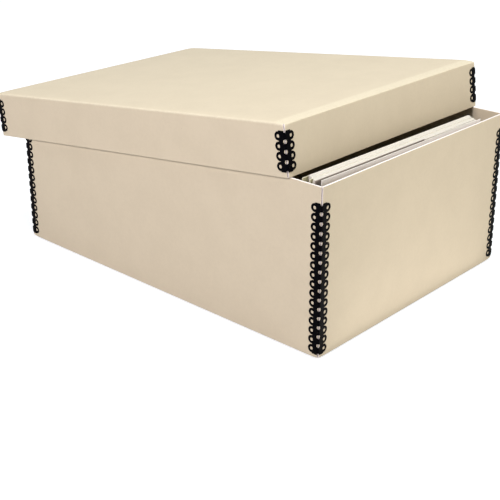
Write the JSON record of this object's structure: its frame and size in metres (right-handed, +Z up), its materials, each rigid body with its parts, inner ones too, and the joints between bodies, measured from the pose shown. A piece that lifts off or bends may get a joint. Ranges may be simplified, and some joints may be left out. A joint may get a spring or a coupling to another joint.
{
  "type": "index card box",
  "caption": "Folded tan board box for index cards with a lift-off lid lying askew, punched black steel corner stays and cards on edge inside.",
  "frame": {"origin": "middle of the tray's underside, on the surface it stands on", "axes": "+Z up; +X along the length towards the near end, where the cards stand and the lid is drawn back; -Y towards the front long wall"},
  "size_m": [0.3403, 0.2242, 0.157],
  "materials": {
    "tan_board": "matt tan board with a pale core at its cut edges",
    "black_steel": "black enamel, satin to gloss",
    "white_card": "smooth white card",
    "grey_card": "smooth pale grey card",
    "tan_card": "uncoated tan card"
  },
  "bodies": {
    "tray": {"tray_board": "tan_board", "tray_stay_near_front": "black_steel", "tray_stay_near_back": "black_steel", "tray_stay_far_back": "black_steel", "tray_stay_far_front": "black_steel"},
    "lid": {"lid_board": "tan_board", "lid_stay_near_front": "black_steel", "lid_stay_near_back": "black_steel", "lid_stay_far_back": "black_steel", "lid_stay_far_front": "black_steel"},
    "front_card": {"front_card": "grey_card"},
    "card_pack": {"small_card": "white_card", "card_01": "white_card", "card_02": "white_card", "card_03": "white_card", "card_04": "white_card", "card_05": "white_card", "card_06": "white_card", "card_07": "white_card", "card_08": "white_card", "card_09": "white_card", "card_10": "white_card", "card_11": "white_card", "card_12": "white_card", "card_13": "white_card", "guide_card_middle": "tan_card", "guide_card_rear": "tan_card"}
  },
  "joints": [
    {"name": "lid_lift", "type": "slide", "parent": "tray", "child": "lid", "axis": [0, 0, 1], "range_m": [0, 0.15]},
    {"name": "front_card_lift", "type": "slide", "parent": "tray", "child": "front_card", "axis": [0, 0, 1], "range_m": [0, 0.13]},
    {"name": "card_pack_lift", "type": "slide", "parent": "tray", "child": "card_pack", "axis": [0, 0, 1], "range_m": [0, 0.13]}
  ]
}
